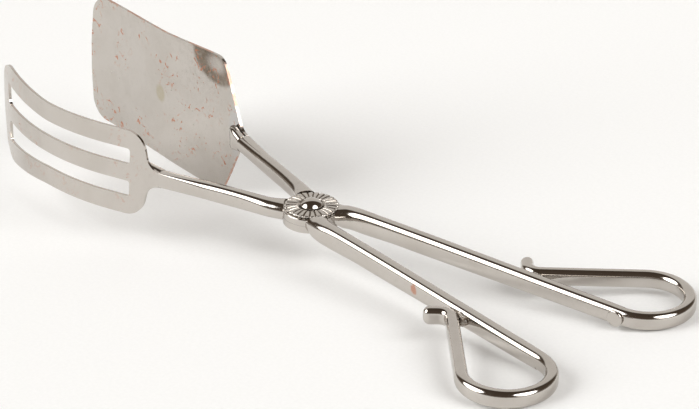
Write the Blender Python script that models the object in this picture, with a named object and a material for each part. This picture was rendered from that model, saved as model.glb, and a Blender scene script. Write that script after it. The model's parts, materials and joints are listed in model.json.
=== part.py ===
"""Scissor-action serving tongs: a spatula blade and a slotted fork blade on two finger-looped arms.

The tongs are designed lying flat: the arms swing in the XY plane about a rivet at the origin, with the
blades towards -X and the finger loops towards +X. The fork arm has its blade on the -Y side and its
handle on the +Y side; the spatula arm is its mirror image. An empty then lays the finished tongs down
as they rest on a table, on the spatula's lower corner and both finger loops, with the table at Z = 0.
"""
import math

import bmesh
import bpy
from mathutils import Matrix, Vector

MM = 0.001
GAP = 0.3 * MM               # left between pieces that touch or are brazed together

# Arms: one bar each, straight outside the pivot, measured on the fork arm
HEAD_SLOPE = math.tan(math.radians(15.5))
HEAD_OFFSET = -3.6 * MM      # Y of the head bar's line where it passes the pivot
HANDLE_ANGLE = math.radians(6.6)
HANDLE_OFFSET = 5.0 * MM     # Y of the handle bar's line where it passes the pivot
BEND = 14.0 * MM             # the bar's bend lies within this X of the pivot
NECK_X = -50.0 * MM          # the head bar is rebated for the blade's tang beyond here
TONGUE_X = -58.0 * MM        # rounded end of the head bar
HANDLE_END_X = 110.0 * MM    # where the bar meets the loop rod
BAR_WIDTH = 4.6 * MM
NECK_WIDTH = 4.3 * MM
HANDLE_END_WIDTH = 4.2 * MM
FLARE_WIDTH = 4.4 * MM       # extra width of the bar at the pivot
FLARE_REACH = 11.0 * MM
NECK_HEIGHT = 5.0 * MM
PIVOT_TOP = 1.6 * MM         # the lap is sunk below the bars' tops, as a seat for the rosette
PIVOT_BOTTOM = -3.0 * MM
LAP_LEVEL = (PIVOT_TOP + PIVOT_BOTTOM) / 2
BAR_LEVELS = (               # X, underside and top of the bar, in mm: a hump on the handle's side
    (-50.0, -2.5, 2.5), (-26.0, -3.0, 2.9), (-10.0, -3.0, 2.7), (7.0, -3.0, 2.7),
    (10.0, -3.6, 3.2), (17.0, -3.8, 3.4), (30.0, -3.4, 3.4), (110.0, -2.8, 2.8))
HEAD_STATIONS = (-50, -42, -34, -26, -21, -17.5, -14, -10, -7, -3.5)     # X of the bar's sections, in mm
HANDLE_STATIONS = (0, 3.5, 7, 8.5, 10, 13, 17, 21, 25, 30, 40, 55, 75, 95, 110)
SECTION_ROUNDING = 0.46      # corner radius of a bar's section, over its width

# Half-lap joint, rivet, rosette and washer
LAP_RADIUS = 9.0 * MM
SHANK_RADIUS = 2.4 * MM
BORE_RADIUS = 2.7 * MM
ROSETTE_RADIUS = 8.5 * MM
ROSETTE_THICKNESS = 0.9 * MM
ROSETTE_GROOVE_RADIUS = 4.0 * MM
FLUTES = 26
FLUTE_DEPTH = 0.35 * MM
DOME_RADIUS = 3.5 * MM
DOME_HEIGHT = 2.0 * MM
WASHER_RADIUS = 5.4 * MM
WASHER_THICKNESS = 0.8 * MM
TAIL_RADIUS = 3.5 * MM
TAIL_HEIGHT = 1.2 * MM

# Finger loops: rod bent round a circle, back to the bar, and out in a short curl
LOOP_RADIUS = 12.6 * MM
LEG_ANGLE = math.radians(35.5)       # between the returning leg and the bar
CURL_RADIUS = 4.0 * MM
CURL_TURN = math.radians(86.0)
CURL_TAIL = 2.4 * MM
LOOP_WIDTH = 3.9 * MM
LOOP_HEIGHT = 5.4 * MM
BEAD_HEIGHT = 3.4 * MM

# Stop button on the fork handle's inner side, which meets the spatula's handle
BUTTON_RADIUS = 2.5 * MM
BUTTON_LENGTH = 0.9 * MM
BUTTON_X = 109.0 * MM

# Blades, as flat outlines: distance along the blade from the neck, and half height
BLADE_THICKNESS = 0.9 * MM
BLADE_X = -54.0 * MM
BLADE_RAKE = math.tan(math.radians(4.0))     # lower corners stand further out than the upper ones
TANG_LENGTH = 3.3 * MM
TANG_HALF = 2.4 * MM
NECK_FILLET = 5.5 * MM
FORK_LENGTH = 79.0 * MM
FORK_HALF = 15.0 * MM
FORK_WAIST = 43.0 * MM       # the fork widens from here to its tip
FORK_TIP_HALF = 18.8 * MM
SLOT_START = 6.8 * MM
SLOT_END = 71.5 * MM
SLOT_CENTRE = 5.8 * MM
SLOT_HALF = 2.75 * MM
SLOT_FLARE = 2.5 * MM        # the slots' outer edges follow the fork's widening
SLOT_CORNER = 1.1 * MM
SPATULA_LENGTH = 89.0 * MM
SPATULA_HALF = 25.1 * MM
SPATULA_WAIST = 44.0 * MM
SPATULA_WAIST_HALF = 23.7 * MM
SPATULA_TIP_HALF = 23.4 * MM
SPATULA_DROP = 0.9 * MM      # the spatula's middle line lies this far below its neck's
# Bends along the blades: length in mm, and degrees turned inwards over it
FORK_ROUTE = ((15.0, 0.0), (66.0, 46.0))
SPATULA_ROUTE = ((6.0, 0.0), (12.0, 12.0), (18.0, 0.0), (12.0, -4.5), (20.0, 0.0), (14.0, 3.5), (9.0, 0.0))
LONGEST_FACET = 5.0 * MM

FORK, SPATULA = 1.0, -1.0    # sign of each arm's handle's Y


# ---------------------------------------------------------------- scene and materials

def clear_scene():
    for item in list(bpy.data.objects):
        bpy.data.objects.remove(item, do_unlink=True)


def metal(name, colour, roughness):
    made = bpy.data.materials.new(name)
    made.use_nodes = True
    shader = made.node_tree.nodes["Principled BSDF"]
    shader.inputs["Base Color"].default_value = (*colour, 1.0)
    shader.inputs["Metallic"].default_value = 1.0
    shader.inputs["Roughness"].default_value = roughness
    made.diffuse_color = (*colour, 1.0)
    return made


def empty(name, parent=None):
    made = bpy.data.objects.new(name, None)
    bpy.context.collection.objects.link(made)
    made.parent = parent
    return made


def finish(name, mesh, parent, colour, roughness=0.12):
    """Tidy a bmesh into a named, smooth-shaded object with its own material."""
    bmesh.ops.recalc_face_normals(mesh, faces=mesh.faces[:])
    if mesh.calc_volume(signed=True) < 0.0:
        bmesh.ops.reverse_faces(mesh, faces=mesh.faces[:])
    data = bpy.data.meshes.new(name)
    mesh.to_mesh(data)
    mesh.free()
    data.shade_smooth()
    data.set_sharp_from_angle(angle=math.radians(40.0))
    made = bpy.data.objects.new(name, data)
    bpy.context.collection.objects.link(made)
    made.parent = parent
    data.materials.append(metal(name, colour, roughness))
    return made


def cutter(name, mesh, parent):
    """A hidden solid for a Boolean."""
    made = finish(name, mesh, parent, (1.0, 0.3, 0.1))
    made.hide_render = True
    made.display_type = "WIRE"
    return made


def boolean(target, tool, operation):
    made = target.modifiers.new(tool.name, "BOOLEAN")
    made.operation = operation
    made.object = tool
    made.solver = "EXACT"


# ---------------------------------------------------------------- shapes shared by the pieces

def section(width, height):
    """Points round a bar's section: a rectangle whose corners are almost full rounds."""
    radius = SECTION_ROUNDING * min(width, height)
    points = []
    for quarter in range(4):
        side = 1.0 if quarter in (0, 3) else -1.0
        up = 1.0 if quarter in (0, 1) else -1.0
        centre = Vector((side * (width / 2 - radius), up * (height / 2 - radius)))
        for step in range(4):
            angle = math.radians(90.0 * quarter + 30.0 * step)
            points.append(centre + radius * Vector((math.cos(angle), math.sin(angle))))
    return points


def sweep(stations):
    """A closed solid through (place, direction, width, height, level) stations."""
    mesh = bmesh.new()
    rings = []
    for place, direction, width, height, level in stations:
        along = Vector(direction).normalized()
        lateral = Vector((-along.y, along.x, 0.0))
        ring = []
        for across, up in section(width, height):
            ring.append(mesh.verts.new(Vector((*place, level + up)) + across * lateral))
        rings.append(ring)
    count = len(rings[0])
    for first, second in zip(rings, rings[1:]):
        for k in range(count):
            nxt = (k + 1) % count
            mesh.faces.new((first[k], first[nxt], second[nxt], second[k]))
    mesh.faces.new(rings[0])
    mesh.faces.new(reversed(rings[-1]))
    return mesh


def turned(profile, segments=48):
    """A solid turned about Z from (radius, height) points; a point on the axis closes an end."""
    mesh = bmesh.new()
    rings = []
    for radius, height in profile:
        if radius == 0.0:
            rings.append([mesh.verts.new((0.0, 0.0, height))])
            continue
        ring = []
        for k in range(segments):
            angle = math.tau * k / segments
            ring.append(mesh.verts.new((radius * math.cos(angle), radius * math.sin(angle), height)))
        rings.append(ring)
    join_rings(mesh, rings, segments)
    return mesh


def join_rings(mesh, rings, segments):
    """Skin a chain of rings; a ring may be a single point, and a closed chain repeats its first."""
    for first, second in zip(rings, rings[1:]):
        for k in range(segments):
            nxt = (k + 1) % segments
            if len(first) == 1:
                mesh.faces.new((first[0], second[nxt], second[k]))
            elif len(second) == 1:
                mesh.faces.new((first[k], first[nxt], second[0]))
            else:
                mesh.faces.new((first[k], first[nxt], second[nxt], second[k]))


def blend(start, end, amount):
    amount = min(1.0, max(0.0, amount))
    return start + (end - start) * amount


# ---------------------------------------------------------------- the arms

def bar_line(x):
    """Y and slope of the fork arm's centre line at x; the bend is one cubic between the lines."""
    handle_slope = math.tan(HANDLE_ANGLE)
    if x <= -BEND:
        return HEAD_OFFSET + HEAD_SLOPE * x, HEAD_SLOPE
    if x >= BEND:
        return HANDLE_OFFSET + handle_slope * x, handle_slope
    start = HEAD_OFFSET - HEAD_SLOPE * BEND
    end = HANDLE_OFFSET + handle_slope * BEND
    span = 2 * BEND
    t = (x + BEND) / span
    y = ((2 * t**3 - 3 * t**2 + 1) * start + (t**3 - 2 * t**2 + t) * span * HEAD_SLOPE
         + (3 * t**2 - 2 * t**3) * end + (t**3 - t**2) * span * handle_slope)
    slope = ((6 * t**2 - 6 * t) * (start - end) / span + (3 * t**2 - 4 * t + 1) * HEAD_SLOPE
             + (3 * t**2 - 2 * t) * handle_slope)
    return y, slope


def bar_width(x):
    far = (NECK_WIDTH, x / NECK_X) if x < 0.0 else (HANDLE_END_WIDTH, x / HANDLE_END_X)
    return blend(BAR_WIDTH, *far) + FLARE_WIDTH * math.exp(-(x / FLARE_REACH) ** 2)


def bar_levels(x):
    """Underside and top of the bar at x."""
    for (x0, low0, high0), (x1, low1, high1) in zip(BAR_LEVELS, BAR_LEVELS[1:]):
        if x <= x1 * MM:
            amount = (x / MM - x0) / (x1 - x0)
            break
    return blend(low0, low1, amount) * MM, blend(high0, high1, amount) * MM


def bar_stations(side):
    stations = []
    rebate = BLADE_THICKNESS + GAP
    tongue_width = NECK_WIDTH - rebate
    for share in (0.0, 0.12, 0.35, 0.7, 1.0):
        x = TONGUE_X + (NECK_X - TONGUE_X - 0.2 * MM) * share
        y, slope = bar_line(x)
        rounding = math.sin(math.radians(25.0 + 65.0 * min(1.0, share / 0.7)))
        stations.append(((x, side * (y + rebate / 2)), (1.0, side * slope),
                         tongue_width * rounding, NECK_HEIGHT * rounding, 0.0))
    for x in HEAD_STATIONS + HANDLE_STATIONS:
        y, slope = bar_line(x * MM)
        low, high = bar_levels(x * MM)
        stations.append(((x * MM, side * y), (1.0, side * slope), bar_width(x * MM), high - low,
                         (high + low) / 2))
    return stations


def drum(radius, low, high, segments=48):
    return turned([(0.0, low), (radius, low), (radius, high), (0.0, high)], segments)


def make_arm(name, side, parent):
    """A bar with a half-lap disc; the fork arm keeps the upper half of the lap."""
    arm = finish(name, sweep(bar_stations(side)), parent, (0.58, 0.55, 0.51))
    disc = cutter(name + "_disc", drum(LAP_RADIUS, PIVOT_BOTTOM, PIVOT_TOP), parent)
    boolean(arm, disc, "UNION")
    far = 2.0 * LAP_RADIUS
    if side == FORK:
        span = (-far, LAP_LEVEL + GAP / 2)
    else:
        span = (LAP_LEVEL - GAP / 2, far)
    room = cutter(name + "_room", drum(LAP_RADIUS + GAP, *span), parent)
    boolean(arm, room, "DIFFERENCE")
    if side == FORK:
        seat = cutter(name + "_seat", drum(ROSETTE_RADIUS + GAP, PIVOT_TOP, far), parent)
        boolean(arm, seat, "DIFFERENCE")
    bore = cutter(name + "_bore", drum(BORE_RADIUS, -far, far, 32), parent)
    boolean(arm, bore, "DIFFERENCE")
    return arm


# ---------------------------------------------------------------- the finger loops

def loop_route():
    """Place, direction and distance along the fork loop's rod, from the bar's end to the curl's tip."""
    y, slope = bar_line(HANDLE_END_X)
    place = Vector((HANDLE_END_X, y)) + GAP * Vector((1.0, slope)).normalized()
    heading = HANDLE_ANGLE
    route = [(place.copy(), heading)]

    def turn(radius, angle, steps):
        nonlocal place, heading
        sign = math.copysign(1.0, angle)
        centre = place + radius * sign * Vector((-math.sin(heading), math.cos(heading)))
        for _ in range(steps):
            heading += angle / steps
            place = centre - radius * sign * Vector((-math.sin(heading), math.cos(heading)))
            route.append((place.copy(), heading))

    def run(length, steps):
        nonlocal place
        step = length / steps * Vector((math.cos(heading), math.sin(heading)))
        for _ in range(steps):
            place = place + step
            route.append((place.copy(), heading))

    turn(LOOP_RADIUS, math.pi + LEG_ANGLE, 16)
    drop = LOOP_RADIUS * (1.0 + math.cos(LEG_ANGLE))
    sag = CURL_RADIUS * (1.0 - math.cos(LEG_ANGLE))
    clearance = (HANDLE_END_WIDTH + BAR_WIDTH) / 4 + LOOP_WIDTH / 2 + GAP
    run((drop - sag - clearance) / math.sin(LEG_ANGLE), 5)
    turn(CURL_RADIUS, -CURL_TURN, 7)
    run(CURL_TAIL, 2)
    return route


def make_loop(name, side, parent):
    stations = []
    for place, heading in loop_route():
        stations.append(((place.x, side * place.y), (math.cos(heading), side * math.sin(heading)),
                         LOOP_WIDTH, LOOP_HEIGHT, 0.0))
    place, direction, width, height, _ = stations[-1]
    direction = Vector(direction)
    for degrees in (30.0, 55.0, 78.0):
        reach = 0.5 * LOOP_WIDTH * math.sin(math.radians(degrees))
        shrink = math.cos(math.radians(degrees))
        end = Vector(place) + reach * direction
        stations.append(((end.x, end.y), direction, width * shrink,
                         height - width * (1.0 - shrink), 0.0))
    return finish(name, sweep(stations), parent, (0.56, 0.53, 0.49))


def contact_place():
    """Where the loop's leg turns closest to the bar: its place on the route, and the bar's direction."""
    along = Vector((math.cos(HANDLE_ANGLE), math.sin(HANDLE_ANGLE)))
    across = Vector((-along.y, along.x))
    return min((place for place, _ in loop_route()[18:]), key=lambda place: place.dot(across)), along


def make_bead(name, side, parent):
    """Braze bead in the wedge between the loop's leg and the bar's outer side."""
    closest, along = contact_place()
    across = Vector((-along.y, along.x))
    outer = CURL_RADIUS + LOOP_WIDTH / 2
    straight = outer * math.sin(LEG_ANGLE)
    rise = GAP + outer * (1.0 - math.cos(LEG_ANGLE))
    stations = []
    for reach, share in ((0.4, 0.6), (0.9, 0.95), (1.5, 0.85), (1.9, 0.5)):
        distance = straight + reach * MM
        room = rise + reach * MM * math.tan(LEG_ANGLE)
        place = closest + distance * along + (room / 2 - GAP - LOOP_WIDTH / 2) * across
        stations.append(((place.x, side * place.y), (along.x, side * along.y),
                         (room - 2.0 * GAP) * share, BEAD_HEIGHT * share, 0.0))
    return finish(name, sweep(stations), parent, (0.54, 0.50, 0.45), 0.25)


# ---------------------------------------------------------------- the blades

def rounded(corners, steps=5):
    """An outline through (x, y, radius) corners, each turned on an arc of its radius."""
    points = []
    count = len(corners)
    for k, (x, y, radius) in enumerate(corners):
        here = Vector((x, y))
        back = (Vector(corners[k - 1][:2]) - here).normalized()
        on = (Vector(corners[(k + 1) % count][:2]) - here).normalized()
        if radius == 0.0:
            points.append(here)
            continue
        half = back.angle(on) / 2
        reach = radius / math.tan(half)
        centre = here + (back + on).normalized() * radius / math.sin(half)
        start = here + back * reach - centre
        sweep_angle = start.angle_signed(here + on * reach - centre)
        for step in range(steps + 1):
            turned_by = Matrix.Rotation(-sweep_angle * step / steps, 2)
            points.append(centre + turned_by @ start)
    return points


def blade_outline(corners, drop=0.0):
    """A tang and a blade given by its upper corners, mirrored below and lowered from the tang's line."""
    tang = [(-TANG_LENGTH, TANG_HALF, 0.0), (-0.4 * MM, TANG_HALF, NECK_FILLET)]
    upper = tang + [(x, y - drop, radius) for x, y, radius in corners]
    lower = tang + [(x, y + drop, radius) for x, y, radius in corners]
    return rounded(upper + [(x, -y, radius) for x, y, radius in reversed(lower)])


def route_at(route, distance):
    """Place and heading, on the fork's side, at a distance along a blade's outer face."""
    y, slope = bar_line(BLADE_X)
    heading = math.pi + math.atan(slope)
    outward = Vector((-math.sin(heading), math.cos(heading)))
    place = Vector((BLADE_X, y)) + outward * NECK_WIDTH / 2
    left = distance
    for length, degrees in route:
        step = min(left, length * MM)
        if degrees == 0.0 or left <= 0.0:
            place = place + step * Vector((math.cos(heading), math.sin(heading)))
        else:
            radius = length * MM / math.radians(degrees)
            centre = place + radius * Vector((math.sin(heading), -math.cos(heading)))
            heading -= step / radius
            place = centre - radius * Vector((math.sin(heading), -math.cos(heading)))
        left -= step
        if left <= 0.0:
            break
    return place, heading


def facet_lines(route):
    """Distances at which a sheet is creased to follow its route."""
    lines = []
    start = 0.0
    for length, degrees in route:
        count = 1
        if degrees:
            count = max(math.ceil(length * MM / LONGEST_FACET), math.ceil(abs(degrees) / 2.5))
        lines += [start + length * MM * step / count for step in range(count)]
        start += length * MM
    return lines[1:]


def plate(outline, holes, route):
    """A raked sheet with holes, bent along its length by its route."""
    mesh = bmesh.new()
    for ring in [outline] + holes:
        verts = [mesh.verts.new((point.x - BLADE_RAKE * point.y, point.y, 0.0)) for point in ring]
        for k, vert in enumerate(verts):
            mesh.edges.new((vert, verts[(k + 1) % len(verts)]))
    bmesh.ops.triangle_fill(mesh, edges=mesh.edges[:], use_beauty=True, use_dissolve=False)
    for distance in facet_lines(route):
        everything = mesh.verts[:] + mesh.edges[:] + mesh.faces[:]
        bmesh.ops.bisect_plane(mesh, geom=everything, dist=1e-7,
                               plane_co=(distance, 0.0, 0.0), plane_no=(1.0, 0.0, 0.0))
    raised = bmesh.ops.extrude_face_region(mesh, geom=mesh.faces[:])
    lifted = [item for item in raised["geom"] if isinstance(item, bmesh.types.BMVert)]
    bmesh.ops.translate(mesh, verts=lifted, vec=(0.0, 0.0, BLADE_THICKNESS))
    for vert in mesh.verts:
        distance, height, depth = vert.co
        place, heading = route_at(route, distance)
        inward = Vector((math.sin(heading), -math.cos(heading)))
        spot = place + inward * depth
        vert.co = (spot.x, spot.y, height)
    return mesh


def make_fork_blade(parent):
    outline = blade_outline([
        (2.2 * MM, FORK_HALF, 7.5 * MM),
        (FORK_WAIST, FORK_HALF, 60.0 * MM),
        (FORK_LENGTH - 2.2 * MM, FORK_TIP_HALF, 10.0 * MM),
        (FORK_LENGTH, 4.0 * MM, 30.0 * MM),
    ])
    holes = []
    for up in (1.0, -1.0):
        inner, outer = up * (SLOT_CENTRE - SLOT_HALF), up * (SLOT_CENTRE + SLOT_HALF)
        holes.append(rounded([(SLOT_START, inner, SLOT_CORNER), (SLOT_START, outer, SLOT_CORNER),
                              (FORK_WAIST, outer, 60.0 * MM),
                              (SLOT_END, outer + up * SLOT_FLARE, SLOT_CORNER),
                              (SLOT_END, inner, SLOT_CORNER)], 2))
    return finish("fork_blade", plate(outline, holes, FORK_ROUTE), parent, (0.57, 0.54, 0.50), 0.16)


def make_spatula_blade(parent):
    outline = blade_outline([
        (12.6 * MM, SPATULA_HALF, 6.5 * MM),
        (SPATULA_WAIST, SPATULA_WAIST_HALF, 80.0 * MM),
        (SPATULA_LENGTH - 1.6 * MM, SPATULA_TIP_HALF, 8.0 * MM),
        (SPATULA_LENGTH, 6.0 * MM, 40.0 * MM),
    ], SPATULA_DROP)
    mesh = plate(outline, [], SPATULA_ROUTE)
    for vert in mesh.verts:
        vert.co.y = -vert.co.y
    return finish("spatula_blade", mesh, parent, (0.55, 0.52, 0.48), 0.2)


# ---------------------------------------------------------------- the pivot's hardware

def make_rosette(parent):
    """Fluted washer: its top is a fan of grooves and its rim is scalloped between them."""
    per_flute = 4
    segments = FLUTES * per_flute
    mesh = bmesh.new()
    rings = []
    top = ROSETTE_THICKNESS
    profile = [(BORE_RADIUS, 0.0, 0.0, 0.0), (ROSETTE_RADIUS - 0.5 * MM, 0.0, 0.3 * MM, 0.0),
               (ROSETTE_RADIUS, 0.5 * MM, 0.3 * MM, 0.0),
               (ROSETTE_RADIUS - 0.2 * MM, top - 0.3 * MM, 0.3 * MM, FLUTE_DEPTH),
               (ROSETTE_GROOVE_RADIUS + 0.5 * MM, top, 0.0, FLUTE_DEPTH),
               (ROSETTE_GROOVE_RADIUS, top - 0.45 * MM, 0.0, 0.0), (BORE_RADIUS, top - 0.45 * MM, 0.0, 0.0)]
    for radius, height, scallop, groove in profile:
        ring = []
        for k in range(segments):
            angle = math.tau * k / segments
            wave = 0.5 - 0.5 * math.cos(math.tau * k / per_flute)
            out = radius - scallop * wave
            spot = (out * math.cos(angle), out * math.sin(angle), height - groove * wave)
            ring.append(mesh.verts.new(spot))
        rings.append(ring)
    join_rings(mesh, rings + [rings[0]], segments)
    made = finish("rosette", mesh, parent, (0.50, 0.48, 0.45), 0.22)
    made.location.z = PIVOT_TOP + GAP / 2
    return made


def make_rivet(parent):
    """Domed head, shank through both arms, and a peened tail under the washer."""
    seat = PIVOT_TOP + GAP + ROSETTE_THICKNESS - 0.45 * MM
    under = PIVOT_BOTTOM - GAP - WASHER_THICKNESS
    profile = [(0.0, under - TAIL_HEIGHT)]
    for step in range(1, 4):
        angle = math.radians(30.0 * step)
        profile.append((TAIL_RADIUS * math.sin(angle), under - TAIL_HEIGHT * math.cos(angle)))
    profile += [(SHANK_RADIUS, under), (SHANK_RADIUS, seat), (DOME_RADIUS, seat)]
    for step in range(1, 6):
        angle = math.radians(18.0 * step)
        profile.append((DOME_RADIUS * math.cos(angle) if step < 5 else 0.0,
                        seat + 0.2 * MM + DOME_HEIGHT * math.sin(angle)))
    return finish("rivet", turned(profile, 32), parent, (0.52, 0.48, 0.44), 0.06)


def make_washer(parent):
    """Flat washer between the spatula arm and the rivet's tail."""
    ring = [(BORE_RADIUS, 0.0), (WASHER_RADIUS, 0.0), (WASHER_RADIUS, WASHER_THICKNESS),
            (BORE_RADIUS, WASHER_THICKNESS), (BORE_RADIUS, 0.0)]
    mesh = turned(ring)
    bmesh.ops.remove_doubles(mesh, verts=mesh.verts[:], dist=1e-7)
    made = finish("back_washer", mesh, parent, (0.52, 0.50, 0.47), 0.2)
    made.location.z = PIVOT_BOTTOM - GAP / 2 - WASHER_THICKNESS
    return made


def make_button(parent):
    """Stop button on the fork handle's inner side: the handles close until it meets the other one."""
    edge = 0.3 * MM
    profile = [(0.0, 0.0), (BUTTON_RADIUS, 0.0), (BUTTON_RADIUS, BUTTON_LENGTH - edge),
               (BUTTON_RADIUS - edge, BUTTON_LENGTH), (0.0, BUTTON_LENGTH)]
    made = finish("fork_stop_button", turned(profile, 24), parent, (0.57, 0.54, 0.50))
    y, _ = bar_line(BUTTON_X)
    inward = Vector((math.sin(HANDLE_ANGLE), -math.cos(HANDLE_ANGLE)))
    place = Vector((BUTTON_X, y)) + inward * (bar_width(BUTTON_X) / 2 + GAP / 2)
    made.location = (place.x, place.y, 0.0)
    made.rotation_euler = (math.pi / 2, 0.0, HANDLE_ANGLE)
    return made


# ---------------------------------------------------------------- lying on the table

def world_points(pieces):
    bpy.context.view_layer.update()
    depsgraph = bpy.context.evaluated_depsgraph_get()
    found = []
    for piece in pieces:
        shape = piece.evaluated_get(depsgraph)
        found += [shape.matrix_world @ vert.co for vert in shape.data.vertices]
    return found


def lay_down(stand, pieces):
    """Tip the tongs onto the spatula's lower corner and both loops, and centre them on the origin."""
    blade = world_points([piece for piece in pieces if piece.name == "spatula_blade"])
    loops = world_points([piece for piece in pieces if piece.name.endswith("finger_loop")])
    tilt = 0.0
    for _ in range(20):
        down = Vector((math.sin(tilt), 0.0, -math.cos(tilt)))
        front = max(blade, key=down.dot)
        back = max(loops, key=down.dot)
        tilt = math.atan2(back.z - front.z, back.x - front.x)
    stand.rotation_euler.y = tilt
    cloud = world_points(pieces)
    low = Vector([min(point[axis] for point in cloud) for axis in range(3)])
    high = Vector([max(point[axis] for point in cloud) for axis in range(3)])
    stand.location = (-(low.x + high.x) / 2, -(low.y + high.y) / 2, -low.z)


def main():
    clear_scene()
    stand = empty("stand")
    fork_pivot = empty("fork_pivot", stand)
    pieces = []
    for kind, side, parent in (("spatula", SPATULA, stand), ("fork", FORK, fork_pivot)):
        pieces.append(make_arm(kind + "_arm", side, parent))
        pieces.append(make_loop(kind + "_finger_loop", side, parent))
        pieces.append(make_bead(kind + "_loop_bead", side, parent))
    pieces.append(make_spatula_blade(stand))
    pieces.append(make_fork_blade(fork_pivot))
    pieces.append(make_button(fork_pivot))
    pieces.append(make_rosette(stand))
    pieces.append(make_rivet(stand))
    pieces.append(make_washer(stand))
    lay_down(stand, pieces)


main()
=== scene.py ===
"""Looks of the scissor-action serving tongs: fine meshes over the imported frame, worn nickel plate, studio."""
import json
import math

import bmesh
import bpy
from mathutils import Matrix, Vector, noise


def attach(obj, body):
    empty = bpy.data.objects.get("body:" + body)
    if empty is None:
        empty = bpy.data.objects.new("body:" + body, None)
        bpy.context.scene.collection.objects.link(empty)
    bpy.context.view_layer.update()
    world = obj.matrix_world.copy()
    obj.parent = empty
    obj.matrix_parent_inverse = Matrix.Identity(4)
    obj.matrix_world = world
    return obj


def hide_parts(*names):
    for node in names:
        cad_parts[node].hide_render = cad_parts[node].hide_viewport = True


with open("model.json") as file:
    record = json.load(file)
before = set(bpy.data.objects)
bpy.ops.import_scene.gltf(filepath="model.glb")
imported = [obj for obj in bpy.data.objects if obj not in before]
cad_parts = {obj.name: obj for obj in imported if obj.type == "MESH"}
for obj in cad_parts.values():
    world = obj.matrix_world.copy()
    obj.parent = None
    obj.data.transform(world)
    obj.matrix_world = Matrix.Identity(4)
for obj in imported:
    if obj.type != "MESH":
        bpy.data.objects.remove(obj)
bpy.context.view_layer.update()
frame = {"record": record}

MM = 0.001

# The tongs are shaped flat about the pivot, as in the CAD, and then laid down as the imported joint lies
PIVOT = frame["record"]["behaviour"]["joints"][0]
AXIS = Vector(PIVOT["axis"])
LAID = Matrix.Translation(PIVOT["pos_m"]) @ Matrix.Rotation(math.atan2(AXIS.x, AXIS.z), 4, "Y")
FORK, SPATULA = 1.0, -1.0
BODY = {FORK: "fork_side", SPATULA: "spatula_side"}

# Dimensions of the CAD, in mm
HEAD_SLOPE = math.tan(math.radians(15.5))
HEAD_OFFSET = -3.6
HANDLE_ANGLE = math.radians(6.6)
HANDLE_OFFSET = 5.0
BEND = 14.0
NECK_X = -50.0
HANDLE_END_X = 110.0
BAR_WIDTH, NECK_WIDTH, HANDLE_END_WIDTH = 4.6, 4.3, 4.2
FLARE_WIDTH, FLARE_REACH = 4.4, 11.0
PIVOT_TOP, PIVOT_BOTTOM = 1.6, -3.0
LAP_LEVEL = (PIVOT_TOP + PIVOT_BOTTOM) / 2
BAR_LEVELS = ((-50.0, -2.5, 2.5), (-26.0, -3.0, 2.9), (-10.0, -3.0, 2.7), (7.0, -3.0, 2.7),
              (10.0, -3.6, 3.2), (17.0, -3.8, 3.4), (30.0, -3.4, 3.4), (110.0, -2.8, 2.8))
LAP_RADIUS, LAP_GAP, BORE_RADIUS, SEAT_RADIUS = 9.0, 0.05, 2.7, 8.7
DRUM_RIM = 0.45
LOOP_RADIUS = 12.6
LEG_ANGLE = math.radians(35.5)
CURL_RADIUS, CURL_TURN, CURL_TAIL = 4.0, math.radians(86.0), 2.4
LOOP_WIDTH, LOOP_HEIGHT = 3.9, 5.4
BUTTON_X = 109.0
CLEARANCE = 0.3
BLADE_THICKNESS = 0.9
BLADE_X = -54.0
BLADE_RAKE = math.tan(math.radians(4.0))
TONGUE_REBATE = BLADE_THICKNESS + 0.05
TANG_LENGTH, TANG_HALF, NECK_FILLET = 4.15, 2.5, 5.5
FORK_ROUTE = ((15.0, 0.0), (66.0, 46.0))
SPATULA_ROUTE = ((6.0, 0.0), (12.0, 12.0), (18.0, 0.0), (12.0, -4.5), (20.0, 0.0), (14.0, 3.5), (9.0, 0.0))
SPATULA_DROP = 0.9
FLUTES = 26


# ---------------------------------------------------------------- node materials

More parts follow.
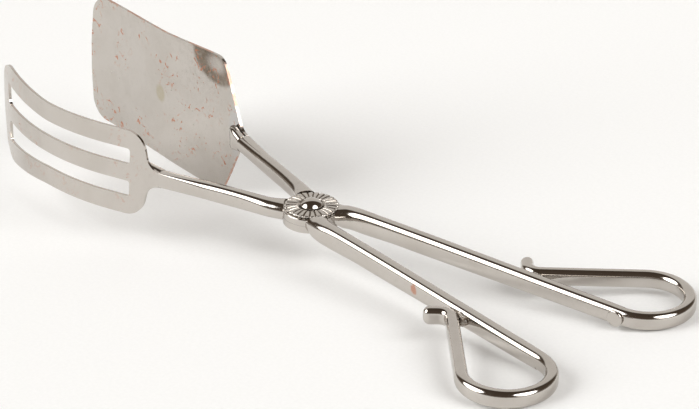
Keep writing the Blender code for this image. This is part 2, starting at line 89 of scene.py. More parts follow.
class Shader:
    """Small helper round a material's node tree."""

    def __init__(self, name):
        self.material = bpy.data.materials.new(name)
        self.material.use_nodes = True
        self.tree = self.material.node_tree
        self.bsdf = self.tree.nodes["Principled BSDF"]
        self.place = self.node("ShaderNodeTexCoord").outputs["Object"]

    def node(self, kind, **settings):
        made = self.tree.nodes.new(kind)
        for key, value in settings.items():
            setattr(made, key, value)
        return made

    def feed(self, socket, value):
        if isinstance(value, bpy.types.NodeSocket):
            self.tree.links.new(value, socket)
        else:
            socket.default_value = value

    def noise(self, scale, detail=3.0, stretch=None, warp=0.0):
        made = self.node("ShaderNodeTexNoise")
        self.feed(made.inputs["Vector"], self.stretched(stretch))
        made.inputs["Scale"].default_value = scale
        made.inputs["Detail"].default_value = detail
        made.inputs["Distortion"].default_value = warp
        return made.outputs["Fac"]

    def stretched(self, stretch):
        if stretch is None:
            return self.place
        made = self.node("ShaderNodeMapping")
        self.feed(made.inputs["Vector"], self.place)
        made.inputs["Scale"].default_value = stretch
        return made.outputs["Vector"]

    def cells(self, scale, feature="F1", output="Distance"):
        made = self.node("ShaderNodeTexVoronoi", feature=feature)
        self.feed(made.inputs["Vector"], self.place)
        made.inputs["Scale"].default_value = scale
        return made.outputs[output]

    def math(self, operation, a, b=0.0):
        made = self.node("ShaderNodeMath", operation=operation)
        self.feed(made.inputs[0], a)
        self.feed(made.inputs[1], b)
        return made.outputs[0]

    def ramp(self, value, low, high, start=0.0, end=1.0):
        made = self.node("ShaderNodeMapRange", interpolation_type="SMOOTHSTEP")
        self.feed(made.inputs["Value"], value)
        for socket, number in (("From Min", low), ("From Max", high), ("To Min", start), ("To Max", end)):
            made.inputs[socket].default_value = number
        return made.outputs["Result"]

    def mix(self, amount, under, over):
        made = self.node("ShaderNodeMix", data_type="RGBA")
        self.feed(made.inputs["Factor"], amount)
        for socket, value in ((made.inputs[6], under), (made.inputs[7], over)):
            self.feed(socket, value if isinstance(value, bpy.types.NodeSocket) else (*value, 1.0))
        return made.outputs[2]

    def distance(self, centre):
        """Distance in metres from a place in the frame."""
        made = self.node("ShaderNodeVectorMath", operation="DISTANCE")
        self.feed(made.inputs[0], self.place)
        made.inputs[1].default_value = centre
        return made.outputs["Value"]

    def attribute(self, name):
        return self.node("ShaderNodeAttribute", attribute_name=name).outputs["Fac"]

    def oval(self, centre, radii, soft=0.35):
        """A soft-edged oval on a blade, in mm along it and up it."""
        across = [self.math("DIVIDE", self.math("SUBTRACT", self.attribute(axis), middle), radius)
                  for axis, middle, radius in zip(("along", "up"), centre, radii)]
        squares = [self.math("MULTIPLY", value, value) for value in across]
        reach = self.math("SQRT", self.math("ADD", *squares))
        return self.ramp(reach, 1.0 - soft, 1.0 + soft, 1.0, 0.0)

    def finish(self, colour, roughness, heights):
        """heights are (socket, distance in metres) bumps, chained."""
        self.feed(self.bsdf.inputs["Base Color"], colour)
        self.feed(self.bsdf.inputs["Roughness"], roughness)
        self.bsdf.inputs["Metallic"].default_value = 1.0
        normal = None
        for height, distance in heights:
            bump = self.node("ShaderNodeBump")
            bump.inputs["Distance"].default_value = distance
            bump.inputs["Strength"].default_value = 1.0
            self.feed(bump.inputs["Height"], height)
            if normal is not None:
                self.feed(bump.inputs["Normal"], normal)
            normal = bump.outputs["Normal"]
        self.feed(self.bsdf.inputs["Normal"], normal)
        return self.material


NICKEL = (0.56, 0.525, 0.488)
NICKEL_DARK = (0.45, 0.41, 0.365)
COPPER = (0.50, 0.225, 0.14)
# Brown of tarnish in pits and braze, also used for painted shade in the rosette's grooves and for a painted
# dark reflection on the spatula
TARNISH_AND_PAINTED_SHADE = (0.185, 0.145, 0.105)
YELLOWED = (0.46, 0.41, 0.31)
BLUED = (0.50, 0.51, 0.53)


def nickel(name, polish, dull, fleck=0.0, worn=0.0, cloud=0.5, stains_and_painted_reflection=(), spots=(), groove_shade=None):
    """Polished nickel plate on copper: clouded, finely scratched, and worn through in places.

    The stain ovals are (tint, centre, radii, strength, softness) on a blade's inner face: some are stains and
    some paint a dark reflection.
    spots are (place, radius) patches of bare copper, and the named attribute marks grooves that painted shade
    darkens.
    """
    s = Shader(name)
    clouds = s.noise(70.0, 4.0, warp=0.6)
    mottle = s.noise(600.0, 5.0)
    hazy = s.ramp(clouds, 0.38, 0.72)
    colour = s.mix(s.math("MULTIPLY", hazy, cloud), NICKEL, NICKEL_DARK)
    colour = s.mix(s.ramp(mottle, 0.55, 0.75, 0.0, 0.22), colour, NICKEL_DARK)
    pits = s.ramp(s.cells(420.0), 0.06, 0.10, 1.0, 0.0)
    seldom = s.ramp(s.noise(160.0, 2.0), 0.60, 0.66)
    colour = s.mix(s.math("MULTIPLY", s.math("MULTIPLY", pits, seldom), 0.5), colour, TARNISH_AND_PAINTED_SHADE)
    # Ovals of colour on the inner face: real stains, and a painted dark reflection made from a brown oval with
    # a nickel oval over it
    for tint, centre, radii, strength, soft in stains_and_painted_reflection:
        mask = s.math("MULTIPLY", s.oval(centre, radii, soft), strength)
        mask = s.math("MULTIPLY", mask, s.attribute("inner"))
        colour = s.mix(s.math("MULTIPLY", mask, s.ramp(mottle, 0.2, 0.6, 0.75, 1.0)), colour, tint)
    # Painted shade: brown darkening along the grooves that the attribute marks
    if groove_shade:
        colour = s.mix(s.ramp(s.attribute(groove_shade), 0.15, 0.8, 0.0, 0.85), colour, TARNISH_AND_PAINTED_SHADE)
    bare = None
    if fleck:
        # Short scratches through the plate, crowded in a few places
        chips = s.ramp(s.noise(380.0, 3.0, warp=1.6), 0.595, 0.64)
        crowd = s.ramp(s.noise(85.0, 1.0), 0.45, 0.56)
        bare = s.math("MULTIPLY", s.math("MULTIPLY", chips, crowd), fleck)
    if worn:
        patches = s.math("MULTIPLY", s.ramp(s.noise(190.0, 4.0), 0.44, 0.56), worn)
        bare = patches if bare is None else s.math("MAXIMUM", bare, patches)
    for centre, radius in spots:
        patch = s.ramp(s.math("ADD", s.distance(centre), s.math("MULTIPLY", s.noise(500.0, 3.0), radius)),
                       0.9 * radius, 1.5 * radius, 0.8, 0.0)
        bare = patch if bare is None else s.math("MAXIMUM", bare, patch)
    if bare is not None:
        colour = s.mix(bare, colour, COPPER)
    roughness = s.ramp(mottle, 0.25, 0.8, polish, dull)
    hair = s.noise(900.0, 2.0, stretch=(0.12, 1.0, 1.0))
    roughness = s.math("ADD", roughness, s.ramp(hair, 0.5, 0.8, 0.0, 0.04))
    heights = [(clouds, 0.00008), (hair, 0.0000012)]
    if bare is not None:
        roughness = s.math("ADD", roughness, s.math("MULTIPLY", bare, 0.18))
        heights.append((s.math("SUBTRACT", 1.0, bare), 0.00001))
    return s.finish(colour, roughness, heights)


def braze(name):
    """Brazing metal: rougher and browner than the plate round it."""
    s = Shader(name)
    lumps = s.noise(700.0, 5.0, warp=0.4)
    colour = s.mix(s.ramp(lumps, 0.35, 0.7), TARNISH_AND_PAINTED_SHADE, NICKEL)
    return s.finish(colour, s.ramp(lumps, 0.3, 0.7, 0.14, 0.42), [(lumps, 0.0004)])


def paper(name):
    """Matt pale paper for the floor."""
    s = Shader(name)
    grain = s.noise(900.0, 4.0)
    colour = s.mix(s.ramp(grain, 0.3, 0.7), (0.905, 0.905, 0.90), (0.93, 0.93, 0.925))
    material = s.finish(colour, s.ramp(grain, 0.3, 0.7, 0.55, 0.7), [(grain, 0.00002)])
    s.bsdf.inputs["Metallic"].default_value = 0.0
    s.bsdf.inputs["Specular IOR Level"].default_value = 0.15
    return material


# ---------------------------------------------------------------- making pieces

def piece(name, mesh, side, materials, stands_for, scale=MM, sharp=None):
    """A bmesh in millimetres about the pivot becomes a piece that rides on a body."""
    bmesh.ops.recalc_face_normals(mesh, faces=mesh.faces[:])
    if mesh.calc_volume(signed=True) < 0.0:
        bmesh.ops.reverse_faces(mesh, faces=mesh.faces[:])
    bmesh.ops.transform(mesh, matrix=LAID @ Matrix.Scale(scale, 4), verts=mesh.verts[:])
    data = bpy.data.meshes.new(name)
    mesh.to_mesh(data)
    mesh.free()
    data.shade_smooth()
    if sharp:
        data.set_sharp_from_angle(angle=math.radians(sharp))
    made = bpy.data.objects.new(name, data)
    bpy.context.collection.objects.link(made)
    for material in materials:
        data.materials.append(material)
    if stands_for:
        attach(made, BODY[side])
        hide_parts(stands_for)
    return made


def apply_modifiers(made):
    """Keep the modifiers' result as the piece's own mesh."""
    bpy.context.view_layer.update()
    shape = made.evaluated_get(bpy.context.evaluated_depsgraph_get())
    result = bpy.data.meshes.new_from_object(shape)
    made.modifiers.clear()
    made.data = result


def round_edges(made, width, material):
    """Round the edges that the mesh marks for it, in the material with this index."""
    edge = made.modifiers.new("edge", "BEVEL")
    edge.width = width * MM
    edge.segments = 4
    edge.limit_method = "WEIGHT"
    edge.harden_normals = True
    edge.material = material


def blend(values, x):
    """Smooth reading of a table of (x, value, ...) rows."""
    for first, second in zip(values, values[1:]):
        if x <= second[0]:
            t = max(0.0, (x - first[0]) / (second[0] - first[0]))
            t = t * t * (3.0 - 2.0 * t)
            return [a + (b - a) * t for a, b in zip(first[1:], second[1:])]
    return list(values[-1][1:])


def section(width, height, top, bottom, square, steps=8):
    """Points round a bar with corner radii top and bottom; square is the share by which the corners on
    the side that its sign names are squared off."""
    points = []
    for quarter, (across, up) in enumerate(((1, 1), (-1, 1), (-1, -1), (1, -1))):
        radius = min(top if up > 0 else bottom, width / 2 - 0.01, height / 2 - 0.01)
        radius *= 1.0 - max(0.0, across * square)
        for step in range(steps + 1):
            angle = math.radians(90.0 * (quarter + step / steps))
            points.append((across * (width / 2 - radius) + radius * math.cos(angle),
                           up * (height / 2 - radius) + radius * math.sin(angle)))
    return points


def sweep(stations, top=0.46, bottom=0.34):
    """A closed solid through (place, direction, width, height, level, square) stations.

    top and bottom are the corners' radii as shares of the width.
    """
    mesh = bmesh.new()
    rings = []
    for place, direction, width, height, level, square in stations:
        along = Vector((*direction, 0.0)).normalized()
        lateral = Vector((-along.y, along.x, 0.0))
        rings.append([mesh.verts.new(Vector((*place, level + up)) + across * lateral)
                      for across, up in section(width, height, top * width, bottom * width, square)])
    count = len(rings[0])
    for first, second in zip(rings, rings[1:]):
        for k in range(count):
            nxt = (k + 1) % count
            mesh.faces.new((first[k], first[nxt], second[nxt], second[k]))
    for ring in (rings[0], rings[-1]):
        middle = mesh.verts.new(sum((vert.co for vert in ring), Vector()) / count)
        for k in range(count):
            mesh.faces.new((ring[k], ring[(k + 1) % count], middle))
    return mesh


def turned(profile, segments=96, shape=None):
    """A solid turned about Z from (radius, height) points; shape may give them anew for each angle."""
    mesh = bmesh.new()
    rings = []
    for index, (radius, height) in enumerate(profile):
        ring = []
        for k in range(1 if radius == 0.0 else segments):
            angle = math.tau * k / segments
            out, up = shape(index, angle) if shape else (radius, height)
            ring.append(mesh.verts.new((out * math.cos(angle), out * math.sin(angle), up)))
        rings.append(ring)
    closed = rings if len(rings[0]) == 1 else rings + [rings[0]]
    for first, second in zip(closed, closed[1:]):
        for k in range(segments):
            nxt = (k + 1) % segments
            if len(first) == 1:
                mesh.faces.new((first[0], second[nxt], second[k]))
            elif len(second) == 1:
                mesh.faces.new((first[k], first[nxt], second[0]))
            else:
                mesh.faces.new((first[k], first[nxt], second[nxt], second[k]))
    return mesh


# ---------------------------------------------------------------- arms

def bar_line(x):
    """Y and slope of the fork arm's centre line at x."""
    handle_slope = math.tan(HANDLE_ANGLE)
    if x <= -BEND:
        return HEAD_OFFSET + HEAD_SLOPE * x, HEAD_SLOPE
    if x >= BEND:
        return HANDLE_OFFSET + handle_slope * x, handle_slope
    start, end = HEAD_OFFSET - HEAD_SLOPE * BEND, HANDLE_OFFSET + handle_slope * BEND
    span = 2 * BEND
    t = (x + BEND) / span
    y = ((2 * t**3 - 3 * t**2 + 1) * start + (t**3 - 2 * t**2 + t) * span * HEAD_SLOPE
         + (3 * t**2 - 2 * t**3) * end + (t**3 - t**2) * span * handle_slope)
    slope = ((6 * t**2 - 6 * t) * (start - end) / span + (3 * t**2 - 4 * t + 1) * HEAD_SLOPE
             + (3 * t**2 - 2 * t) * handle_slope)
    return y, slope


def bar_width(x):
    """Width of the bar at x, flared round the pivot."""
    end, share = (NECK_WIDTH, x / NECK_X) if x < 0.0 else (HANDLE_END_WIDTH, x / HANDLE_END_X)
    return BAR_WIDTH + (end - BAR_WIDTH) * min(1.0, share) + FLARE_WIDTH * math.exp(-(x / FLARE_REACH) ** 2)


# X, share of the tongue's thickness and its height: the bar's end is spread and rounded on the blade
TONGUE = ((-58.5, 0.04, 1.2), (-58.4, 0.16, 2.8), (-58.1, 0.34, 4.6), (-57.6, 0.54, 6.2), (-56.9, 0.74, 7.4),
          (-55.9, 0.90, 8.0), (-54.5, 0.98, 7.6), (-52.5, 1.0, 6.4), (-50.0, 1.0, 5.2))


# How far the bar takes to turn into the loop's rod, and its back from square at the neck to rounded
ROD_RUN, SQUARE_RUN = 6.0, 16.0
# The stations' spacing, close by the lap and the neck and wider elsewhere
FINE_STEP, COARSE_STEP = 0.7, 2.0


def bar_stations(side):
    """The bar from its tongue on the blade to the loop, as stations for a sweep."""
    stations = []
    for x, share, height in TONGUE:
        y, slope = bar_line(x)
        full = NECK_WIDTH - TONGUE_REBATE
        shift = TONGUE_REBATE / 2 - (1.0 - share) * full / 2
        stations.append(((x, side * (y + shift)), (1.0, side * slope), full * share, height, 0.0, 0.0))
    places = []
    x = NECK_X + 0.03
    while x < HANDLE_END_X:
        places.append(x)
        x += FINE_STEP if abs(x) < 19.5 or x < -44.0 else COARSE_STEP
    for x in places + [HANDLE_END_X]:
        y, slope = bar_line(x)
        low, high = blend(BAR_LEVELS, x)
        width = bar_width(x)
        to_rod = max(0.0, 1.0 - (HANDLE_END_X - x) / ROD_RUN)
        width += (LOOP_WIDTH - width) * to_rod
        height = high - low + (LOOP_HEIGHT - high + low) * to_rod
        square = -side * 0.9 * max(0.0, 1.0 - (x - NECK_X) / SQUARE_RUN)
        stations.append(((x, side * y), (1.0, side * slope), width, height, (high + low) / 2, square))
    return stations


def make_arm(name, side, material):
    """A swept bar joined to the lap's drum and cut to half its height there, with the rosette's seat."""
    arm = piece(name, sweep(bar_stations(side)), side, [material], None)
    far = 2.0 * LAP_RADIUS
    keep_below = (-far, LAP_LEVEL + LAP_GAP / 2)
    keep_above = (LAP_LEVEL - LAP_GAP / 2, far)
    tools = (("UNION", LAP_RADIUS, (PIVOT_BOTTOM, PIVOT_TOP)),
             ("DIFFERENCE", LAP_RADIUS + LAP_GAP, keep_below if side == FORK else keep_above),
             ("DIFFERENCE", SEAT_RADIUS, (PIVOT_TOP, far)),
             ("DIFFERENCE", BORE_RADIUS, (-far, far)))
    cutters = []
    for operation, radius, (low, high) in tools:
        rim, turns = (DRUM_RIM, (0, 18, 36, 54, 72, 90)) if operation == "UNION" else (0.0, (0,))
        corner = [(radius - rim * (1.0 - math.cos(math.radians(turn))),
                   high - rim * (1.0 - math.sin(math.radians(turn)))) for turn in turns]
        drum = piece(name + "_tool", turned([(0.0, low), (radius, low)] + corner + [(0.0, high)], 128),
                     side, [material], None)
        cutters.append(drum)
        cut = arm.modifiers.new(operation, "BOOLEAN")
        cut.operation, cut.object, cut.solver = operation, drum, "EXACT"
    apply_modifiers(arm)
    arm.data.set_sharp_from_angle(angle=math.radians(35.0))
    for drum in cutters:
        bpy.data.objects.remove(drum)
    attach(arm, BODY[side])
    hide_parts(name)
    arm.name = name + "_metal"


# ---------------------------------------------------------------- finger loops

def loop_route():
    """Places and headings along the fork's loop: round the finger, down the leg and out in a curl."""
    y, slope = bar_line(HANDLE_END_X)
    place = Vector((HANDLE_END_X, y)) + 0.015 * Vector((1.0, slope)).normalized()
    heading = HANDLE_ANGLE
    route = [(place.copy(), heading)]

    def turn(radius, angle, steps):
        nonlocal place, heading
        sign = math.copysign(1.0, angle)
        centre = place + radius * sign * Vector((-math.sin(heading), math.cos(heading)))
        for _ in range(steps):
            heading += angle / steps
            place = centre - radius * sign * Vector((-math.sin(heading), math.cos(heading)))
            route.append((place.copy(), heading))

    def run(length, steps):
        nonlocal place
        for _ in range(steps):
            place = place + length / steps * Vector((math.cos(heading), math.sin(heading)))
            route.append((place.copy(), heading))

    turn(LOOP_RADIUS, math.pi + LEG_ANGLE, 72)
    drop = LOOP_RADIUS * (1.0 + math.cos(LEG_ANGLE))
    sag = CURL_RADIUS * (1.0 - math.cos(LEG_ANGLE))
    clearance = (HANDLE_END_WIDTH + BAR_WIDTH) / 4 + LOOP_WIDTH / 2 + CLEARANCE
    run((drop - sag - clearance) / math.sin(LEG_ANGLE), 14)
    turn(CURL_RADIUS, -CURL_TURN, 24)
    run(CURL_TAIL, 3)
    return route


def make_loop(name, side, material):
    """A rod along the loop's route that ends in a dome."""
    stations = [((place.x, side * place.y), (math.cos(heading), side * math.sin(heading)),
                 LOOP_WIDTH, LOOP_HEIGHT, 0.0, 0.0) for place, heading in loop_route()]
    (x, y), direction, width, height, *_ = stations[-1]
    for degrees in (12.0, 24.0, 36.0, 48.0, 60.0, 70.0, 79.0, 86.0):
        reach = 0.5 * width * math.sin(math.radians(degrees))
        shrink = math.cos(math.radians(degrees))
        stations.append(((x + reach * direction[0], y + reach * direction[1]), direction,
                         width * shrink, height - width * (1.0 - shrink), 0.0, 0.0))
    return piece(name + "_rod", sweep(stations, 0.48, 0.42), side, [material], name, sharp=50.0)


# Half length, half width and half height of the braze bead
BEAD_SIZE = (3.0, 0.95, 2.15)


def make_bead(name, side, material):
    """Lumpy brazing metal that fills the wedge between the loop's leg and the bar."""
    half_length, half_width, half_height = BEAD_SIZE
    along = Vector((math.cos(HANDLE_ANGLE), math.sin(HANDLE_ANGLE)))
    across = Vector((-along.y, along.x))
    closest = min((place for place, _ in loop_route()[80:]), key=lambda place: place.dot(across))
    centre = closest + 2.6 * along - (LOOP_WIDTH / 2 - 0.1) * across
    mesh = bmesh.new()
    bmesh.ops.create_icosphere(mesh, subdivisions=5, radius=1.0)
    for vert in mesh.verts:
        lump = 1.0 + 0.16 * noise.noise(vert.co * 2.3) + 0.06 * noise.noise(vert.co * 6.0)
        spot = centre + half_length * lump * vert.co.x * along + half_width * lump * vert.co.y * across
        vert.co = (spot.x, side * spot.y, half_height * lump * vert.co.z)
    return piece(name + "_metal", mesh, side, [material], name)


# ---------------------------------------------------------------- blades

def rounded(corners, steps=14):
    """An outline through (x, y, radius) corners, each turned on an arc of its radius."""
    points = []
    count = len(corners)
    for k, (x, y, radius) in enumerate(corners):
        here = Vector((x, y))
        if radius == 0.0:
            points.append(here)
            continue
        back = (Vector(corners[k - 1][:2]) - here).normalized()
        on = (Vector(corners[(k + 1) % count][:2]) - here).normalized()
        half = back.angle(on) / 2
        reach = radius / math.tan(half)
        centre = here + (back + on).normalized() * radius / math.sin(half)
        start = here + back * reach - centre
        whole = start.angle_signed(here + on * reach - centre)
        points += [centre + Matrix.Rotation(-whole * step / steps, 2) @ start for step in range(steps + 1)]
    return points


# The upper half of each blade's outline from the neck on: distance along it, height and corner radius
FORK_CORNERS = ((2.2, 15.0, 7.5), (43.0, 15.0, 60.0), (76.8, 18.8, 10.0), (79.0, 4.0, 30.0))
SPATULA_CORNERS = ((12.6, 25.1, 6.5), (44.0, 23.7, 80.0), (87.4, 23.4, 8.0), (89.0, 6.0, 40.0))
# The fork's slots: ends along it, inner and outer edge off the middle, and the corners' radius
SLOT_ENDS, SLOT_EDGES, SLOT_CORNER = (6.8, 71.5), (3.05, 8.55), 1.1
RAKE_RUN = 2.5
SLICE = 1.5
EDGE_ROUND = 0.38


def blade_outline(corners, drop=0.0):
    """A whole outline from its upper half, mirrored, and set lower by drop."""
    tang = [(-TANG_LENGTH, TANG_HALF, 0.0), (-0.4, TANG_HALF, NECK_FILLET)]
    upper = tang + [(x, y - drop, radius) for x, y, radius in corners]
    lower = tang + [(x, y + drop, radius) for x, y, radius in corners]
    return rounded(upper + [(x, -y, radius) for x, y, radius in reversed(lower)])


def slot_outline(up):
    """The slot above the fork's middle, or below it where up is -1; it widens towards the tip."""
    start, end = SLOT_ENDS
    inner, outer = (up * edge for edge in SLOT_EDGES)
    return rounded([(start, inner, SLOT_CORNER), (start, outer, SLOT_CORNER), (43.0, outer, 60.0),
                    (end, outer + 2.5 * up, SLOT_CORNER), (end, inner, 2.4)], 8)


def route_at(route, distance):
    """Place and heading, on the fork's side, at a distance along a blade's outer face."""
    y, slope = bar_line(BLADE_X)
    heading = math.pi + math.atan(slope)
    place = Vector((BLADE_X, y)) + Vector((-math.sin(heading), math.cos(heading))) * NECK_WIDTH / 2
    left = distance
    for length, degrees in route:
        step = min(left, length)
        if degrees == 0.0 or left <= 0.0:
            place = place + step * Vector((math.cos(heading), math.sin(heading)))
        else:
            radius = length / math.radians(degrees)
            centre = place + radius * Vector((math.sin(heading), -math.cos(heading)))
            heading -= step / radius
            place = centre - radius * Vector((math.sin(heading), -math.cos(heading)))
        left -= step
        if left <= 0.0:
            break
    return place, heading


def make_blade(name, side, outline, holes, route, materials):
    """A raked sheet with holes and softened edges, bent along its route."""
    mesh = bmesh.new()
    for ring in [outline] + holes:
        verts = []
        for x, y in ring:
            rake = BLADE_RAKE * y * min(1.0, (x + TANG_LENGTH) / RAKE_RUN)
            verts.append(mesh.verts.new((x - rake, y, 0.0)))
        for k, vert in enumerate(verts):
            mesh.edges.new((vert, verts[(k + 1) % len(verts)]))
    bmesh.ops.triangle_fill(mesh, edges=mesh.edges[:], use_beauty=True, use_dissolve=False)
    length = sum(span for span, _ in route)
    for step in range(1, int(length / SLICE)):
        everything = mesh.verts[:] + mesh.edges[:] + mesh.faces[:]
        bmesh.ops.bisect_plane(mesh, geom=everything, dist=1e-5,
                               plane_co=(SLICE * step, 0.0, 0.0), plane_no=(1.0, 0.0, 0.0))
    raised = bmesh.ops.extrude_face_region(mesh, geom=mesh.faces[:])
    bmesh.ops.translate(mesh, verts=[v for v in raised["geom"] if isinstance(v, bmesh.types.BMVert)],
                        vec=(0.0, 0.0, BLADE_THICKNESS))
    along, up, inner = (mesh.verts.layers.float.new(layer) for layer in ("along", "up", "inner"))
    rounding = mesh.edges.layers.float.new("bevel_weight_edge")
    for face in mesh.faces:
        face.normal_update()
        face.material_index = int(abs(face.normal.z) < 0.5)
    for edge in mesh.edges:
        rim = edge.calc_face_angle(0.0) > 0.9
        at_bar = all(vert.co.x < 0.05 - TANG_LENGTH for vert in edge.verts)
        edge[rounding] = float(rim and not at_bar)
    for vert in mesh.verts:
        distance, height, depth = vert.co
        vert[along], vert[up], vert[inner] = distance, height, float(depth > 0.0)
        place, heading = route_at(route, distance)
        spot = place + Vector((math.sin(heading), -math.cos(heading))) * depth
        vert.co = (spot.x, side * spot.y, height)
    made = piece(name + "_sheet", mesh, side, materials, name)
    round_edges(made, EDGE_ROUND, 1)
    apply_modifiers(made)


# ---------------------------------------------------------------- pivot hardware and button

def make_rosette(material):
    """Fan of rounded petals, parted by narrow grooves, round a sunk seat for the rivet."""
    seat = PIVOT_TOP + 0.1
    # Radius, height, how far the rim draws in at a groove, and the groove's depth there
    profile = ((2.7, 0.0, 0.0, 0.0), (8.0, 0.0, 0.0, 0.0), (8.3, 0.15, 0.3, 0.0), (8.45, 0.4, 0.42, 0.0),
               (8.42, 0.58, 0.42, 0.05), (8.3, 0.72, 0.36, 0.16), (8.05, 0.82, 0.2, 0.26),
               (7.6, 0.9, 0.0, 0.36), (7.0, 0.93, 0.0, 0.46), (6.2, 0.95, 0.0, 0.5), (5.4, 0.95, 0.0, 0.5),
               (4.8, 0.93, 0.0, 0.42), (4.45, 0.88, 0.0, 0.3), (4.25, 0.78, 0.0, 0.1), (4.1, 0.45, 0.0, 0.0),
               (2.7, 0.45, 0.0, 0.0))

    def petals(index, angle):
        radius, height, draw, depth = profile[index]
        from_groove = abs((angle * FLUTES / math.tau) % 1.0 - 0.5) * 2.0
        narrow = max(0.0, 1.0 - from_groove / 0.42)
        crown = 0.07 * (1.0 - from_groove) ** 2 if depth else 0.0
        groove = narrow * narrow * (3.0 - 2.0 * narrow)
        return radius - draw * groove, seat + height - depth * groove - crown

    fan = turned([row[:2] for row in profile], FLUTES * 16, petals)
    # The groove weight, highest in the middle of each groove on the petals, sets where painted shade darkens
    # them
    groove = fan.verts.layers.float.new("groove")
    for vert in fan.verts:
        from_groove = abs((math.atan2(vert.co.y, vert.co.x) * FLUTES / math.tau) % 1.0 - 0.5) * 2.0
        if 3.9 < vert.co.xy.length < 8.0 and vert.co.z > seat + 0.2:
            vert[groove] = max(0.0, 1.0 - from_groove / 0.5)
    return piece("rosette_fan", fan, SPATULA, [material], "rosette")


def make_rivet(material):
    """A low dome on a straight shank, with a peened tail below the washer."""
    seat = PIVOT_TOP + 0.75
    under = PIVOT_BOTTOM - 1.1
    tail_radius, tail_height, shank = 3.5, 1.2, 2.4
    profile = [(0.0, under - tail_height)]
    profile += [(tail_radius * math.sin(math.radians(a)), under - tail_height * math.cos(math.radians(a)))
                for a in range(6, 91, 6)]
    ball, half = 4.06, 59.0
    rim = ball * math.sin(math.radians(half))
    profile += [(shank, under), (shank, seat), (rim - 0.1, seat), (rim, seat + 0.08)]
    profile += [(ball * math.sin(math.radians(half * k / 24)),
                 seat + 0.16 + ball * (math.cos(math.radians(half * k / 24)) - math.cos(math.radians(half))))
                for k in range(24, -1, -1)]
    return piece("rivet_domed", turned(profile), SPATULA, [material], "rivet", sharp=50.0)


def make_washer(material):
    """A plain washer with softened rims, under the arms."""
    top = PIVOT_BOTTOM - 0.1
    low = top - 0.8
    ring = [(BORE_RADIUS, low), (5.15, low), (5.33, low + 0.07), (5.4, low + 0.25), (5.4, top - 0.25),
            (5.33, top - 0.07), (5.15, top), (BORE_RADIUS, top)]
    return piece("back_washer_ring", turned(ring), SPATULA, [material], "back_washer", sharp=50.0)


def make_button(material):
    """Slightly crowned disc on the fork handle's inner side."""
    profile = [(0.0, 0.0), (2.35, 0.0), (2.5, 0.12), (2.5, 0.55), (2.44, 0.74), (2.28, 0.86), (2.05, 0.9),
               (1.2, 0.9), (0.0, 0.9)]
    mesh = turned(profile, 64)
    inward = Vector((math.sin(HANDLE_ANGLE), -math.cos(HANDLE_ANGLE)))
    place = Vector((BUTTON_X, bar_line(BUTTON_X)[0])) + inward * (bar_width(BUTTON_X) / 2 + 0.02)
    turn = Matrix.Rotation(HANDLE_ANGLE, 4, "Z") @ Matrix.Rotation(math.pi / 2, 4, "X")
    bmesh.ops.transform(mesh, matrix=Matrix.Translation((*place, 0.0)) @ turn, verts=mesh.verts[:])
    return piece("fork_stop_button_disc", mesh, FORK, [material], "fork_stop_button")


# ---------------------------------------------------------------- studio

# A dim brown room, paler near the floor, by the sine of the height above the horizon
ROOM = ((0.0, (0.60, 0.58, 0.55)), (0.10, (0.34, 0.31, 0.28)), (0.24, (0.10, 0.075, 0.055)),
        (1.0, (0.08, 0.06, 0.045)))
# What is lit in it: where it lies to the camera's right, towards it and up, radius, softness and light
PANELS = (((0.0, -0.90, 0.43), 43.0, 5.0, (0.80, 0.775, 0.74)),
          ((-0.84, 0.15, 0.52), 23.0, 3.0, (5.2, 5.2, 5.15)),
          ((0.60, 0.58, 0.55), 21.0, 3.0, (6.0, 6.0, 5.95)))


def studio(right, toward):
    """A pale floor in a dim room with a grey backdrop beyond and softboxes to the left and the right."""
    mesh = bmesh.new()
    bmesh.ops.create_grid(mesh, x_segments=24, y_segments=24, size=2.5)
    data = bpy.data.meshes.new("floor")
    mesh.to_mesh(data)
    mesh.free()
    data.materials.append(paper("floor_paper"))
    floor = bpy.data.objects.new("floor", data)
    bpy.context.collection.objects.link(floor)

    world = bpy.data.worlds.new("studio")
    bpy.context.scene.world = world
    world.use_nodes = True
    tree = world.node_tree
    direction = tree.nodes.new("ShaderNodeTexCoord").outputs["Generated"]
    split = tree.nodes.new("ShaderNodeSeparateXYZ")
    tree.links.new(direction, split.inputs[0])
    ramp = tree.nodes.new("ShaderNodeValToRGB")
    elements = ramp.color_ramp.elements
    for k, (place, colour) in enumerate(ROOM):
        stop = elements[k] if k < 2 else elements.new(place)
        stop.position = place
        stop.color = (*colour, 1.0)
    tree.links.new(split.outputs["Z"], ramp.inputs["Fac"])
    light = ramp.outputs["Color"]
    for aim, radius, soft, colour in PANELS:
        centre = (aim[0] * right + aim[1] * toward + Vector((0.0, 0.0, aim[2]))).normalized()
        dot = tree.nodes.new("ShaderNodeVectorMath")
        dot.operation = "DOT_PRODUCT"
        tree.links.new(direction, dot.inputs[0])
        dot.inputs[1].default_value = centre
        inside = tree.nodes.new("ShaderNodeMapRange")
        inside.interpolation_type = "SMOOTHSTEP"
        inside.inputs["From Min"].default_value = math.cos(math.radians(radius + soft))
        inside.inputs["From Max"].default_value = math.cos(math.radians(radius - soft))
        inside.inputs["To Max"].default_value = 1.0
        tree.links.new(dot.outputs["Value"], inside.inputs["Value"])
        mix = tree.nodes.new("ShaderNodeMix")
        mix.data_type = "RGBA"
        tree.links.new(inside.outputs["Result"], mix.inputs["Factor"])
        tree.links.new(light, mix.inputs[6])
        mix.inputs[7].default_value = (*colour, 1.0)
        light = mix.outputs[2]
    tree.links.new(light, tree.nodes["Background"].inputs["Color"])


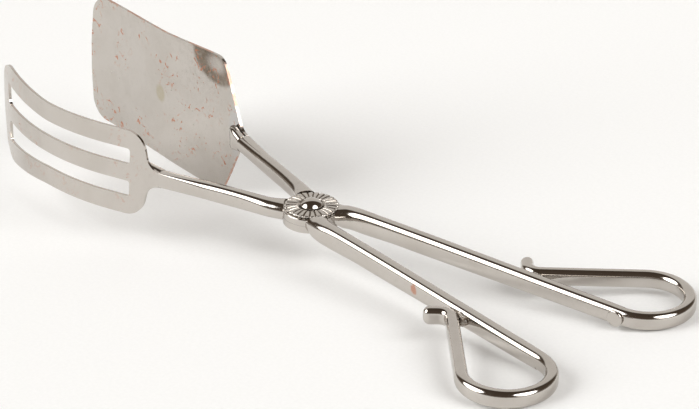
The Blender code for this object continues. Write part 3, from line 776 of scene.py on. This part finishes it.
def camera():
    """A long lens at the photograph's viewing angle, in the frame of the flat tongs."""
    azimuth, elevation, roll = (math.radians(angle) for angle in (45.237, 27.323, -0.102))
    right = Vector((math.cos(azimuth), math.sin(azimuth), 0.0))
    back = Vector((math.sin(azimuth) * math.cos(elevation), -math.cos(azimuth) * math.cos(elevation),
                   math.sin(elevation)))
    down = -back.cross(right)
    right, down = (math.cos(roll) * right - math.sin(roll) * down,
                   math.sin(roll) * right + math.cos(roll) * down)
    aim_right, aim_down, distance = 11.689, -2.119, 837.808
    place = (aim_right * right + aim_down * down + distance * back) * MM
    turned_to = Matrix((right, -down, back)).transposed().to_4x4()
    data = bpy.data.cameras.new("camera")
    data.sensor_width = 36.0
    data.sensor_fit = "HORIZONTAL"
    data.lens = 139.725
    made = bpy.data.objects.new("camera", data)
    made.matrix_world = LAID @ Matrix.Translation(place) @ turned_to
    bpy.context.collection.objects.link(made)
    bpy.context.scene.camera = made
    flat_right, flat_back = (Vector((v.x, v.y, 0.0)).normalized() for v in (right, back))
    return flat_right, flat_back


def build():
    x, level = 57.0, 0.3
    worn_spot = LAID @ (Vector((x, -bar_line(x)[0] - bar_width(x) / 2, level)) * MM)
    arm_metal = nickel("arm_nickel", 0.06, 0.13, cloud=0.25, spots=((worn_spot, 0.002),))
    loop_metal = nickel("loop_nickel", 0.06, 0.13, cloud=0.3)
    bead_metal = braze("braze_metal")
    for side, kind in ((FORK, "fork"), (SPATULA, "spatula")):
        make_arm(kind + "_arm", side, arm_metal)
        make_loop(kind + "_finger_loop", side, loop_metal)
        make_bead(kind + "_loop_bead", side, bead_metal)
    fork_metal = nickel("fork_nickel", 0.13, 0.24, fleck=0.35, cloud=0.35)
    fork_edge = nickel("fork_edge_nickel", 0.06, 0.13, worn=0.1, cloud=0.2)
    make_blade("fork_blade", FORK, blade_outline(FORK_CORNERS), [slot_outline(1.0), slot_outline(-1.0)],
               FORK_ROUTE, [fork_metal, fork_edge])
    stains_and_painted_reflection = ((YELLOWED, (46.7, -0.9), (2.5, 3.0), 0.9, 0.3),
              # The next two ovals, a brown one with a smaller nickel one over it, paint a dark reflection near
              # the blade's upper edge by the neck
              (TARNISH_AND_PAINTED_SHADE, (15.0, 22.5), (12.0, 9.0), 0.9, 0.1),
              (NICKEL, (15.4, 20.6), (4.4, 2.8), 0.85, 0.5),
              (BLUED, (3.5, 0.0), (4.5, 8.5), 0.5, 0.35))
    spatula_metal = nickel("spatula_nickel", 0.15, 0.27, fleck=0.85, cloud=0.4, stains_and_painted_reflection=stains_and_painted_reflection)
    spatula_edge = nickel("spatula_edge_nickel", 0.14, 0.26, worn=0.7, cloud=0.4)
    make_blade("spatula_blade", SPATULA, blade_outline(SPATULA_CORNERS, SPATULA_DROP), [],
               SPATULA_ROUTE, [spatula_metal, spatula_edge])
    # The rosette's grooves get painted shade from the groove weight
    make_rosette(nickel("rosette_nickel", 0.2, 0.32, fleck=0.25, cloud=0.4, groove_shade="groove"))
    make_rivet(nickel("rivet_nickel", 0.03, 0.07, cloud=0.3))
    make_washer(nickel("washer_nickel", 0.12, 0.24, cloud=0.4))
    make_button(nickel("button_nickel", 0.1, 0.18, cloud=0.3))


bpy.context.scene.view_settings.view_transform = "Standard"
build()
studio(*camera())
